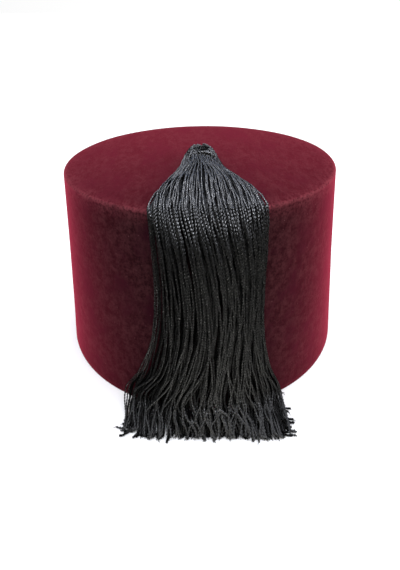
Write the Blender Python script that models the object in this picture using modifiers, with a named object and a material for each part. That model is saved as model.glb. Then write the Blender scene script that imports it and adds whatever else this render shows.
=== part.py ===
"""A fez: a stiff felt crown, open underneath, and a long cord tassel that lies over its front edge.

The crown stands on its rim. The tassel's head sits near the middle of the crown's top, held by a tie
through the felt; its cords fan out to the front edge, hang down the side and spread on the ground.
Metres, +Z up, front towards -Y. The origin is under the middle of the whole object's box.
"""

import math

import bmesh
import bpy
from mathutils import Vector

MM = 0.001
GAP = 0.3 * MM  # between pieces that touch

# The felt crown
HEIGHT = 114.0 * MM
BASE_RADIUS = 92.25 * MM
TOP_RADIUS = 78.25 * MM
WALL = 2.5 * MM
EDGE_RADIUS = 2.4 * MM  # of the soft fold between side and top
LEAST_EDGE_RADIUS = 0.4 * MM  # of the same fold, inside
WAIST = 0.7 * MM  # how far the side bows in, midway up
EDGE_POINTS = 4
SIDE_POINTS = 6
CROWN_STEPS = 72

# The tassel's bundle of cords. Each row is one section across it, from the head to the tips:
# the middle of its underside, the middle of its outer side, its left and right edges, and how
# much of the crown's roundness it follows. Millimetres from the crown's axis and the ground.
SECTION_COLUMNS = ("under_y", "under_z", "out_y", "out_z", "left", "right", "wrap")
TASSEL_SECTIONS = (
    (-10.2, 115.0, -10.2, 120.4, -8.2, 9.8, 0.0),  # in the head
    (-24.0, 114.6, -24.0, 122.2, -11.2, 12.2, 0.0),
    (-42.0, 114.6, -43.0, 122.9, -16.8, 20.0, 0.0),
    (-60.0, 114.6, -62.0, 122.6, -22.0, 27.4, 0.0),
    (-72.0, 114.7, -75.5, 119.8, -23.4, 29.5, 0.5),
    (-77.9, 113.8, -84.0, 115.8, -23.8, 30.3, 1.0),  # over the crown's front edge
    (-79.8, 106.5, -91.0, 106.5, -23.4, 30.6, 1.0),
    (-81.6, 92.0, -94.4, 92.0, -23.0, 30.8, 1.0),
    (-84.3, 70.0, -95.4, 70.0, -23.4, 30.8, 1.0),
    (-87.2, 48.0, -95.8, 48.0, -25.8, 31.6, 1.0),
    (-89.9, 27.0, -98.2, 28.5, -30.4, 34.6, 1.0),
    (-91.7, 12.5, -101.6, 16.0, -36.2, 38.8, 1.0),
    (-93.4, 4.6, -105.2, 9.4, -40.6, 42.6, 0.9),  # where the cords turn onto the ground
    (-97.6, 0.9, -108.2, 6.4, -44.2, 46.0, 0.7),
    (-106.6, 0.5, -111.8, 4.0, -46.0, 48.5, 0.45),  # the tips
)
TASSEL_REACH = 115.67 * MM  # from the crown's axis to the foremost tip
STATIONS = 30  # sections that are lofted along the bundle
SIDE_THICKNESS = 1.7 * MM  # of the bundle at its two edges
DOME_SPREAD = 2.2  # the higher, the flatter the bundle's middle
DOME_BLUNT = 0.55  # the lower, the blunter its sides
LOCKS = 21
UNDER_SHARE = 0.97  # the underside's width
LOCK_OUTLINE = ((0.0, 0.0), (0.32, 1.0), (0.72, 1.0))  # (share of a lock's width, share of its relief)
LOCK_RELIEF = (1.1 * MM, 1.5 * MM, 0.9 * MM, 1.7 * MM)  # groove to crest, in turn
MOST_RELIEF = 0.45  # of the bundle's thickness
LOCK_WANDER = 0.16  # how far a lock strays sideways, in widths
LOCK_WAVES = 1.7  # how often, over the bundle's length
TIP_REACH = (5.2 * MM, 1.8 * MM, 4.2 * MM, 2.9 * MM)  # how far locks run past the last section, in turn
TIP_SECTIONS = ((0.5, 0.8), (1.0, 0.45))  # (share of its reach, share of its lock's width and height)

# The tassel's head: a dome of cords that come out of a dimple, with a hole for the tie
HEAD_PLACE = Vector((0.8, -6.5, 0.0)) * MM  # from the crown's axis
HEAD_RADIUS = 9.8 * MM
HEAD_HEIGHT = 8.2 * MM
HEAD_LOCKS = 18
HEAD_RELIEF = 0.45 * MM
DIMPLE_RADIUS = 4.3 * MM
DIMPLE_DEPTH = 4.6 * MM

# The tie: a cord with a knot at each end
TIE_RADIUS = 1.2 * MM
TOP_KNOT_RADIUS = 1.9 * MM
UNDER_KNOT_RADIUS = 3.2 * MM
TIE_STEPS = 16
KNOT_POINTS = 5

AXIS = Vector((0.0, (TASSEL_REACH - BASE_RADIUS) / 2, 0.0))  # the crown's axis, seen from the origin


def make_collection(name):
    """A new collection in the scene."""
    collection = bpy.data.collections.new(name)
    bpy.context.scene.collection.children.link(collection)
    return collection


def make_material(name, colour, roughness):
    """A plain dyed finish: linear colour and roughness."""
    material = bpy.data.materials.new(name)
    material.use_nodes = True
    shader = material.node_tree.nodes["Principled BSDF"]
    shader.inputs["Base Color"].default_value = (*colour, 1.0)
    shader.inputs["Roughness"].default_value = roughness
    shader.inputs["Metallic"].default_value = 0.0
    return material


def add_object(name, mesh, collection, material=None):
    """An object for a mesh, smooth but for its sharp edges."""
    thing = bpy.data.objects.new(name, mesh)
    collection.objects.link(thing)
    if material:
        mesh.materials.append(material)
    mesh.shade_smooth()
    mesh.set_sharp_from_angle(angle=math.radians(50))
    return thing


def add_turned(name, profile, steps, collection, material):
    """A body turned about its own Z axis from (radius, height) points that run from top to bottom."""
    edges = [(i, i + 1) for i in range(len(profile) - 1)]
    mesh = bpy.data.meshes.new(name)
    mesh.from_pydata([(radius, 0.0, height) for radius, height in profile], edges, [])
    turned = add_object(name, mesh, collection, material)
    screw = turned.modifiers.new("turn", "SCREW")
    screw.steps = screw.render_steps = steps
    screw.use_merge_vertices = True
    screw.merge_threshold = 0.00001
    screw.use_smooth_shade = True
    return turned


def cut_or_join(target, other, operation):
    """A Boolean of the target with another body."""
    boolean = target.modifiers.new(other.name, "BOOLEAN")
    boolean.operation = operation
    boolean.solver = "EXACT"
    boolean.object = other


def hide_guide(guide):
    """Marks a body that only cuts or joins others."""
    guide.hide_render = True
    guide.display_type = "WIRE"


def side_radius(height):
    """The crown's outer radius at a height above the ground."""
    fall = 1.0 - height / HEIGHT
    straight = TOP_RADIUS + (BASE_RADIUS - TOP_RADIUS) * fall
    return straight - WAIST * math.sin(math.pi * fall)


def crown_wall(inset):
    """(radius, height) points of the crown's surface, from the axis over the top edge to the rim."""
    edge = max(EDGE_RADIUS - inset, LEAST_EDGE_RADIUS)
    top = HEIGHT - inset
    middle = Vector((side_radius(top - edge) - inset - edge, top - edge))
    points = [(0.0, top)]
    for i in range(EDGE_POINTS + 1):
        turn = math.radians(90 * (1 - i / EDGE_POINTS))
        points.append((middle.x + edge * math.cos(turn), middle.y + edge * math.sin(turn)))
    for i in range(1, SIDE_POINTS + 1):
        height = (top - edge) * (1 - i / SIDE_POINTS)
        points.append((side_radius(height) - inset, height))
    return points


def build_crown(parts, guides):
    """The felt body, hollow from below, with the tie's hole in its top."""
    felt = make_material("wine_red_felt", (0.16, 0.013, 0.022), 0.95)
    profile = crown_wall(0.0) + crown_wall(WALL)[::-1]
    crown = add_turned("crown", profile, CROWN_STEPS, parts, felt)
    crown.location = AXIS
    bpy.ops.mesh.primitive_cylinder_add(
        vertices=TIE_STEPS,
        radius=TIE_RADIUS + GAP,
        depth=4 * WALL,
        location=AXIS + HEAD_PLACE + Vector((0.0, 0.0, HEIGHT - WALL / 2)),
    )
    punch = bpy.context.object
    punch.name = "tie_hole"
    for collection in list(punch.users_collection):
        collection.objects.unlink(punch)
    guides.objects.link(punch)
    hide_guide(punch)
    cut_or_join(crown, punch, "DIFFERENCE")


def smooth_row(share):
    """The bundle's section at a share of its length, on a smooth curve through the table's rows."""
    place = share * (len(TASSEL_SECTIONS) - 1)
    i = min(int(place), len(TASSEL_SECTIONS) - 2)
    t = place - i
    rows = [TASSEL_SECTIONS[min(max(i + k, 0), len(TASSEL_SECTIONS) - 1)] for k in (-1, 0, 1, 2)]
    values = []
    for a, b, c, d in zip(*rows):
        bend = (2 * a - 5 * b + 4 * c - d) * t**2 + (3 * b - a - 3 * c + d) * t**3
        values.append(0.5 * (2 * b + (c - a) * t + bend))
    return dict(zip(SECTION_COLUMNS, values))


def bundle_thickness(row, across):
    """The bundle's thickness at a place across it, -1 at its left edge and 1 at its right."""
    under = Vector((row["under_y"], row["under_z"])) * MM
    out = Vector((row["out_y"], row["out_z"])) * MM
    thickest = (out - under).length
    dome = max(1 - abs(across) ** DOME_SPREAD, 0.0) ** DOME_BLUNT
    return SIDE_THICKNESS + (thickest - SIDE_THICKNESS) * dome


def bundle_point(row, across, height):
    """A point of the bundle: across it from -1 to 1, and at a height above its underside."""
    under = Vector((row["under_y"], row["under_z"])) * MM
    out = Vector((row["out_y"], row["out_z"])) * MM
    outward = (out - under).normalized()
    x = (row["left"] + (row["right"] - row["left"]) * (across + 1) / 2) * MM
    reach = -under.x
    back = row["wrap"] * (reach - math.sqrt(max(reach**2 - x**2, 0.0)))
    place = under + outward * height
    return AXIS + Vector((x, place.x + back, place.y))


def add_ring(work, points):
    """New corners at a loop of points."""
    return [work.verts.new(point) for point in points]


def join_rings(work, low, high):
    """Faces between two rings with as many corners each."""
    for i in range(len(low)):
        j = (i + 1) % len(low)
        work.faces.new((low[i], low[j], high[j], high[i]))


def finish_body(work, name, collection, material=None):
    """The object of a mesh under work, in flat triangles whose faces point out."""
    bmesh.ops.recalc_face_normals(work, faces=work.faces)
    bmesh.ops.triangulate(work, faces=work.faces)
    mesh = bpy.data.meshes.new(name)
    work.to_mesh(mesh)
    work.free()
    return add_object(name, mesh, collection, material)


def lock_across(lock, share, along):
    """Where a share of a lock's width lies across the bundle, at a share of its length."""
    room = 2.0 / LOCKS
    stray = LOCK_WANDER * math.sin(2 * math.pi * (LOCK_WAVES * along + 0.37 * lock))
    inside = 0 < lock + share < LOCKS
    return -1.0 + room * (lock + share + (stray if inside else 0.0))


def bundle_loop(row, along):
    """The bundle's outline in one section: a ridge for each lock, over a smooth underside."""
    upper = []
    for lock in range(LOCKS):
        relief = LOCK_RELIEF[lock % len(LOCK_RELIEF)]
        for share, crest in LOCK_OUTLINE:
            across = lock_across(lock, share, along)
            thickness = bundle_thickness(row, across)
            groove = min(relief, MOST_RELIEF * thickness)
            upper.append(bundle_point(row, across, thickness - groove * (1 - crest)))
    upper.append(bundle_point(row, 1.0, (1 - MOST_RELIEF) * SIDE_THICKNESS))
    grooves = [UNDER_SHARE * lock_across(lock, 0.0, along) for lock in range(LOCKS + 1)]
    return upper + [bundle_point(row, across, 0.0) for across in reversed(grooves)]


def lock_corners(ring, lock):
    """The corners of one lock in a ring of the bundle: over its ridge, and back along the underside."""
    first = lock * len(LOCK_OUTLINE)
    under = len(ring) - 1 - lock
    return ring[first : first + len(LOCK_OUTLINE) + 1] + [ring[under - 1], ring[under]]


def add_tip(work, corners, reach):
    """One lock's loose end, from its corners in the bundle's last ring to its own tip."""
    middle = sum((corner.co for corner in corners), Vector()) / len(corners)
    ring = corners
    for run, size in TIP_SECTIONS:
        ahead = middle + Vector((0.0, -run * reach, 0.0))
        following = add_ring(work, [ahead + size * (corner.co - middle) for corner in corners])
        join_rings(work, ring, following)
        ring = following
    work.faces.new(ring)


def build_bundle(parts, material):
    """The locks side by side, from inside the head to their loose tips on the ground."""
    work = bmesh.new()
    shares = [i / (STATIONS - 1) for i in range(STATIONS)]
    rings = [add_ring(work, bundle_loop(smooth_row(along), along)) for along in shares]
    for low, high in zip(rings, rings[1:]):
        join_rings(work, low, high)
    for lock in range(LOCKS):
        work.faces.new(lock_corners(rings[0], lock))
        add_tip(work, lock_corners(rings[-1], lock), TIP_REACH[lock % len(TIP_REACH)])
    return finish_body(work, "tassel", parts, material)


def build_head(guides):
    """The head's dome: ridged rings up out of the dimple, over the lip, down the outside and back up."""
    low = HEIGHT + GAP
    crest = low + HEAD_HEIGHT
    lip = DIMPLE_RADIUS + 1.7 * MM
    bore = TIE_RADIUS + GAP
    rings = (  # (radius, height, share of the relief)
        (bore, crest - DIMPLE_DEPTH, 0.0),
        (DIMPLE_RADIUS * 0.75, crest - DIMPLE_DEPTH * 0.9, 0.0),
        (DIMPLE_RADIUS, crest - DIMPLE_DEPTH * 0.35, 0.5),
        (lip, crest, 0.7),
        (lip + 2.2 * MM, crest - 1.0 * MM, 1.0),
        (HEAD_RADIUS - 0.5 * MM, crest - 3.2 * MM, 1.0),
        (HEAD_RADIUS, low + 3.4 * MM, 1.0),
        (HEAD_RADIUS - 0.6 * MM, low + 1.2 * MM, 0.6),
        (HEAD_RADIUS - 1.8 * MM, low, 0.0),
        (bore, low, 0.0),
    )
    work = bmesh.new()
    loops = []
    for radius, height, ridge in rings:
        loop = []
        for i in range(2 * HEAD_LOCKS):
            turn = math.pi * i / HEAD_LOCKS
            reach = radius - ridge * HEAD_RELIEF * (i % 2)
            spoke = Vector((math.sin(turn), -math.cos(turn), 0.0)) * reach
            loop.append(AXIS + HEAD_PLACE + spoke + Vector((0.0, 0.0, height)))
        loops.append(add_ring(work, loop))
    for low, high in zip(loops, loops[1:] + loops[:1]):
        join_rings(work, low, high)
    head = finish_body(work, "head_dome", guides)
    hide_guide(head)
    return head


def build_tassel(parts, guides):
    """The bundle of locks and the head, one body."""
    cord = make_material("black_rayon_cord", (0.012, 0.012, 0.014), 0.35)
    tassel = build_bundle(parts, cord)
    cut_or_join(tassel, build_head(guides), "UNION")


def knot_points(middle, radius, start, end):
    """(radius, height) points down the side of a round knot, between two angles from its top."""
    points = []
    for i in range(KNOT_POINTS):
        turn = math.radians(start + (end - start) * i / (KNOT_POINTS - 1))
        points.append((radius * math.sin(turn), middle + radius * math.cos(turn)))
    return points


def build_tie(parts):
    """The cord through the crown, with its two knots."""
    cord = make_material("black_tie_cord", (0.012, 0.012, 0.014), 0.6)
    top_neck = math.degrees(math.asin(TIE_RADIUS / TOP_KNOT_RADIUS))
    under_neck = math.degrees(math.asin(TIE_RADIUS / UNDER_KNOT_RADIUS))
    dimple_floor = HEIGHT + GAP + HEAD_HEIGHT - DIMPLE_DEPTH
    top_middle = dimple_floor + 2 * GAP + TOP_KNOT_RADIUS * math.cos(math.radians(top_neck))
    under_middle = HEIGHT - WALL - GAP - UNDER_KNOT_RADIUS
    profile = knot_points(top_middle, TOP_KNOT_RADIUS, 0, 180 - top_neck)
    profile += knot_points(under_middle, UNDER_KNOT_RADIUS, under_neck, 180)
    profile[-1] = (0.0, profile[-1][1])
    tie = add_turned("tassel_tie", profile, TIE_STEPS, parts, cord)
    tie.location = AXIS + HEAD_PLACE


def main():
    """Builds the whole hat."""
    for old in list(bpy.data.objects):
        bpy.data.objects.remove(old)
    parts = make_collection("fez_hat")
    guides = make_collection("cutters_and_guides")
    build_crown(parts, guides)
    build_tassel(parts, guides)
    build_tie(parts)


if __name__ == "__main__":
    main()
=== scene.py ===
"""A fez: a stiff felt crown with a cropped velvet nap, and a long tassel of twisted black cords.

The crown stands on its rim on a white studio floor. The tassel's cords come out of a domed head on
the crown's top, fan out to its front edge, hang down the side and spread on the floor.
"""

import logging
import math
from collections.abc import Callable
from dataclasses import dataclass, field
from enum import Enum
from functools import partial

import bpy
import numpy as np
from bpy.types import ID, Material, Node, NodeSocket, NodeTree, Object
from mathutils import Matrix, Vector, noise


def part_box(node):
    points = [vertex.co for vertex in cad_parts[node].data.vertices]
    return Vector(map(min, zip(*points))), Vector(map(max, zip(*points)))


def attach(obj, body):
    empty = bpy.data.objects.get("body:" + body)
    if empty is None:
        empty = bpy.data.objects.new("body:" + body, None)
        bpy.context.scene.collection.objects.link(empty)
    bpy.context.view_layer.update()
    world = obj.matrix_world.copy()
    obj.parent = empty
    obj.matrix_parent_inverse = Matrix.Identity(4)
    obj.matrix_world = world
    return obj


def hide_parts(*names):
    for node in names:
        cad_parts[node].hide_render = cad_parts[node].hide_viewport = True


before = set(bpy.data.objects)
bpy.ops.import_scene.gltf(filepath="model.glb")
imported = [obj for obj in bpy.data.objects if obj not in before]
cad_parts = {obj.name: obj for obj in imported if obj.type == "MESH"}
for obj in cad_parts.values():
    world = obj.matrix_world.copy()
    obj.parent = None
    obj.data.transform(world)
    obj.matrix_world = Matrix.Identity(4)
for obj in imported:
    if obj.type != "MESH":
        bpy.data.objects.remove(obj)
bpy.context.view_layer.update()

MM = 0.001
BODY = "root"  # the hat has no joint
LOG = logging.getLogger("fez")
Range = tuple[float, float]
Grain = tuple[float, float, float]  # a noise: the width of one patch, its finer noises, their force

CROWN_LOW, CROWN_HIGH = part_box("crown")
AXIS = Vector(((CROWN_LOW.x + CROWN_HIGH.x) / 2, (CROWN_LOW.y + CROWN_HIGH.y) / 2, 0.0))
HEIGHT = CROWN_HIGH.z
BASE_RADIUS = (CROWN_HIGH.x - CROWN_LOW.x) / 2


def linear(colour: str) -> tuple[float, float, float, float]:
    """Turns an sRGB hex colour into linear RGBA.

    Args:
        colour: "#rrggbb".

    Returns:
        Red, green, blue and alpha, linear.
    """
    parts = [int(colour[i : i + 2], 16) / 255 for i in (1, 3, 5)]
    red, green, blue = (c / 12.92 if c <= 0.04045 else ((c + 0.055) / 1.055) ** 2.4 for c in parts)
    return red, green, blue, 1.0


def add_node(tree: NodeTree, kind: str, inputs: dict | tuple = (), **settings: str | bool) -> Node:
    """Adds a node, with its settings, values and links.

    Args:
        tree: the tree that it joins.
        kind: the node's type name.
        inputs: for each input, by name or in order: a value, the socket to link from, or a node
            whose first output in use is linked.
        **settings: the node's own properties.

    Returns:
        The new node.
    """
    node = tree.nodes.new(kind)
    for name, value in settings.items():
        setattr(node, name, value)
    for key, value in inputs.items() if isinstance(inputs, dict) else enumerate(inputs):
        if isinstance(value, Node):
            value = next(output for output in value.outputs if output.enabled)
        if isinstance(value, NodeSocket):
            tree.links.new(value, node.inputs[key])
        else:
            node.inputs[key].default_value = value
    return node


def smooth_step(low: float, high: float, value: float) -> float:
    """Rises smoothly from 0 at low to 1 at high."""
    t = min(max((value - low) / (high - low), 0.0), 1.0)
    return t * t * (3 - 2 * t)


def spaced(first: float, last: float, count: int) -> list[float]:
    """Gives evenly spaced numbers, with both ends."""
    return [first + (last - first) * i / (count - 1) for i in range(count)]


def new_object(name: str, data: ID) -> Object:
    """Makes an object in the scene.

    Args:
        name: its name.
        data: its mesh, light or camera.

    Returns:
        The object, at the origin.
    """
    made = bpy.data.objects.new(name, data)
    bpy.context.scene.collection.objects.link(made)
    return made


def dress_piece(piece: Object, node: str) -> None:
    """Hangs a finished piece on the hat's body and hides the solid that it stands for.

    Args:
        piece: the finished mesh object.
        node: the solid that it replaces.
    """
    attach(piece, BODY)
    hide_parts(node)
    LOG.info("%s: %d faces", piece.name, len(piece.data.polygons))


class Finish:
    """A surface that one Principled shader gives."""

    name: str

    def shader_inputs(self, tree: NodeTree) -> dict:
        """Adds the nodes in front of the shader, and gives its inputs."""
        raise NotImplementedError

    def build(self) -> Material:
        """Makes the material.

        Returns:
            The material, which reads object coordinates and the piece's own attributes.
        """
        material = bpy.data.materials.new(self.name)
        material.use_nodes = True
        tree = material.node_tree
        tree.nodes.clear()
        shader = add_node(tree, "ShaderNodeBsdfPrincipled", self.shader_inputs(tree))
        add_node(tree, "ShaderNodeOutputMaterial", {"Surface": shader})
        return material


@dataclass(frozen=True)
class VelvetFelt(Finish):
    """Wool felt with a short cropped nap: nearly black where the eye looks down into the pile,
    crimson where it is seen along the surface, softly mottled where the nap lies unevenly, with
    wear along the fold round the top that is painted lighter there as a painted highlight where the
    crease catches the light, and flecked with a few specks of lint."""

    name: str = "wine_red_napped_wool_felt"
    pile_dark: str = "#0b0708"
    pile_light: str = "#2f1b1d"
    pile_wine: str = "#1c0b11"
    worn_and_highlight: str = "#6b3239"
    # wear and a painted highlight: the lighter colour along the fold round the top
    lint: str = "#6f4a4d"
    nap_tint: str = "#ff5574"
    nap_weight: float = 0.475
    nap_roughness: float = 0.42
    roughness: float = 0.95
    ior: float = 1.5
    specular: float = 0.0
    brushing: tuple[float, float, float] = (1.0, 0.38, 0.8)  # the nap is brushed from front to back
    mottle: Grain = (3.2 * MM, 4.0, 0.6)
    hue: Grain = (14 * MM, 3.0, 0.6)
    fibres: Grain = (0.9 * MM, 2.0, 0.7)  # a wool fibre is too fine to show, so tufts are drawn
    patches: Grain = (9 * MM, 4.0, 0.7)
    fibre_share: float = 0.45  # of the mottling
    light_range: Range = (0.36, 0.66)
    wine_range: Range = (0.46, 0.7)
    fibre_range: Range = (0.3, 0.6)
    patch_range: Range = (0.25, 0.62)
    mottle_bump: Range = (1.0, 0.12 * MM)  # its strength and height
    fibre_bump: Range = (0.5, 0.08 * MM)
    fold_radius: float = BASE_RADIUS - 14.4 * MM
    fold_height: float = HEIGHT - 0.4 * MM
    worn_highlight_width: float = 1.9 * MM
    worn_highlight_share: Range = (0.42, 0.2)  # how strongly the fold's wear and painted highlight show in its patches, besides everywhere
    rubbed_highlight_width: float = 9 * MM
    rubbed_highlight_share: float = 0.22
    lint_spacing: float = 2.6 * MM
    lint_size: float = 0.27 * MM
    lint_free: float = 0.62  # the share of places without a speck

    def fold_distance(self, tree: NodeTree, place: NodeSocket) -> Node:
        """Measures how far a place is from the fold between top and side.

        Args:
            tree: the material's tree.
            place: object coordinates.

        Returns:
            The node that gives the distance in metres.
        """
        add = partial(add_node, tree)
        centred = add("ShaderNodeVectorMath", (place, tuple(AXIS)), operation="SUBTRACT")
        x, y, z = add("ShaderNodeSeparateXYZ", (centred,)).outputs
        radius = add("ShaderNodeVectorMath", (add("ShaderNodeCombineXYZ", (x, y)),), operation="LENGTH")
        meridian = add("ShaderNodeCombineXYZ", (radius, z))
        fold = (self.fold_radius, self.fold_height, 0.0)
        return add("ShaderNodeVectorMath", (meridian, fold), operation="DISTANCE")

    def shader_inputs(self, tree: NodeTree) -> dict:
        """Lays the pile's colours over each other, from its depth to the lint on it.

        Args:
            tree: the material's tree.

        Returns:
            The shader's inputs.
        """
        add = partial(add_node, tree)
        place = add("ShaderNodeTexCoord").outputs["Object"]
        brushed = add("ShaderNodeMapping", {"Vector": place, "Scale": self.brushing})
        grains = ((brushed, self.mottle), (brushed, self.hue), (brushed, self.fibres), (place, self.patches))
        mottle, hue, fibres, patches = (
            add("ShaderNodeTexNoise", {"Vector": at, "Scale": 1 / size, "Detail": finer, "Roughness": force})
            for at, (size, finer, force) in grains
        )
        both = add("ShaderNodeMix", {"Factor": self.fibre_share, 2: mottle, 3: fibres})
        away = self.fold_distance(tree, place)
        cells = add("ShaderNodeTexVoronoi", {"Vector": place, "Scale": 1 / self.lint_spacing}).outputs
        bounds = (
            (both, *self.light_range),
            (hue, *self.wine_range),
            (fibres, *self.fibre_range),
            (patches, *self.patch_range),
            (away, self.worn_highlight_width, 0.0),
            (away, self.rubbed_highlight_width, 0.0),
            (cells["Distance"], self.lint_size / self.lint_spacing, 0.0),
        )
        light, wine, rough, patchy, near, rubbed_highlight, speck = (
            add("ShaderNodeMapRange", row, interpolation_type="SMOOTHSTEP") for row in bounds
        )
        # wear and a painted highlight along the fold: a thin line on it and a band beside it, both patchy
        worn_and_highlight = add("ShaderNodeMath", (patchy, rough), operation="MULTIPLY")
        worn_and_highlight = add("ShaderNodeMath", (worn_and_highlight, *self.worn_highlight_share), operation="MULTIPLY_ADD")
        line = add("ShaderNodeMath", (near, worn_and_highlight), operation="MULTIPLY")
        rubbed_highlight = add("ShaderNodeMath", (rubbed_highlight, rough), operation="MULTIPLY")
        worn_and_highlight = add("ShaderNodeMath", (rubbed_highlight, self.rubbed_highlight_share, line), operation="MULTIPLY_ADD")
        chance = add("ShaderNodeSeparateColor", (cells["Color"],))
        some = add("ShaderNodeMath", (chance, self.lint_free), operation="GREATER_THAN")
        lint = add("ShaderNodeMath", (speck, some), operation="MULTIPLY")
        pile = linear(self.pile_dark)
        coats = ((light, self.pile_light), (wine, self.pile_wine), (worn_and_highlight, self.worn_and_highlight), (lint, self.lint))
        for share, colour in coats:
            pile = add("ShaderNodeMix", {"Factor": share, 6: pile, 7: linear(colour)}, data_type="RGBA")
        strength, depth = self.mottle_bump
        bump = add("ShaderNodeBump", {"Strength": strength, "Distance": depth, "Height": mottle})
        strength, depth = self.fibre_bump
        fine = {"Strength": strength, "Distance": depth, "Height": fibres, "Normal": bump}
        return {
            "Base Color": pile,
            "Roughness": self.roughness,
            "IOR": self.ior,
            "Specular IOR Level": self.specular,
            "Sheen Weight": self.nap_weight,
            "Sheen Roughness": self.nap_roughness,
            "Sheen Tint": linear(self.nap_tint),
            "Normal": add("ShaderNodeBump", fine),
        }


@dataclass(frozen=True)
class TwistedRayon(Finish):
    """Two-ply rayon cord, dyed black: near-black in itself, with a silky highlight that lies right
    across each turn of the twist, because the filaments all run along the cord. It breaks up into
    flecked patches, sleek where filaments lie smooth and fuzzy between them, with painted glints
    that make the sleek patches a little lighter and painted shade that makes the groove between
    the plies darker."""

    name: str = "black_twisted_rayon_cord"
    dark: str = "#050505"
    light: str = "#161615"
    sleek: float = 0.18
    fuzzy: float = 0.68
    ior: float = 1.54
    specular: float = 0.75
    along_filaments: float = 0.3
    fleck_and_glint_size: float = 1.0 * MM  # a filament is too fine to show, so bundles of them are drawn
    fleck_and_glint_range: tuple[float, ...] = (0.44, 0.66, 0.3, 2.5)  # of the noise, and how strong they get

    def shader_inputs(self, tree: NodeTree) -> dict:
        """Shades a cord by its own tint, painted shade in the groove between its plies, its filaments' way
        and its fleck pattern with painted glints.

        Args:
            tree: the material's tree.

        Returns:
            The shader's inputs.
        """
        add = partial(add_node, tree)
        tint, crown, filaments = (
            add("ShaderNodeAttribute", attribute_name=name).outputs
            for name in ("cord_tint", "cord_crown", "cord_filaments")
        )
        # the dye's tint, darkened as painted shade in the groove between the plies
        dye_and_groove_shade = add("ShaderNodeMath", (tint["Fac"], crown["Fac"]), operation="MULTIPLY")
        place = add("ShaderNodeTexCoord").outputs["Object"]
        fuzz = add("ShaderNodeTexNoise", {"Vector": place, "Scale": 1 / self.fleck_and_glint_size, "Detail": 1.0})
        # sleeker patches of filaments, whose colour is also painted lighter as painted glints
        flecks_and_glints = add("ShaderNodeMapRange", (fuzz, *self.fleck_and_glint_range), interpolation_type="SMOOTHSTEP")
        share = add("ShaderNodeMath", (dye_and_groove_shade, flecks_and_glints), operation="MULTIPLY")
        # unclamped, so a tint above 1 paints a highlight lighter than the light dye
        dyes = {"Factor": share, 6: linear(self.dark), 7: linear(self.light)}
        return {
            "Base Color": add("ShaderNodeMix", dyes, data_type="RGBA", clamp_factor=False),
            "Roughness": add("ShaderNodeMix", {"Factor": share, 2: self.fuzzy, 3: self.sleek}),
            "IOR": self.ior,
            "Specular IOR Level": self.specular,
            "Anisotropic": self.along_filaments,
            "Anisotropic Rotation": 0.25,  # a quarter turn: right across the filaments
            "Tangent": filaments["Vector"],
        }


@dataclass(frozen=True)
class InnerShadedRayon(TwistedRayon):
    """The same cord deeper in the tassel, with painted shade: a darker dye and far less gloss."""

    name: str = "black_rayon_cord_painted_shade"
    light: str = "#131312"
    sleek: float = 0.4
    fuzzy: float = 0.5
    specular: float = 0.3


@dataclass(frozen=True)
class ShadedRayon(InnerShadedRayon):
    """The same cord at the tassel's core, with deeper painted shade: hardly any gloss."""

    name: str = "black_rayon_cord_deep_painted_shade"
    specular: float = 0.06


@dataclass(frozen=True)
class WaxedTieCord(TwistedRayon):
    """Waxed cotton tying cord: matte black, with a dull gloss that hardly follows the twist."""

    name: str = "black_waxed_cotton_tie_cord"
    dark: str = "#0d0d0d"
    sleek: float = 0.6
    fuzzy: float = 0.75
    ior: float = 1.45
    specular: float = 0.5
    along_filaments: float = 0.2


@dataclass(frozen=True)
class StudioFloorPaint(Finish):
    """Matt white studio floor."""

    name: str = "white_studio_floor"
    colour: str = "#fbfbfb"
    roughness: float = 0.9

    def shader_inputs(self, tree: NodeTree) -> dict:
        """Gives one plain coat."""
        return {"Base Color": linear(self.colour), "Roughness": self.roughness, "Specular IOR Level": 0.0}


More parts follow.
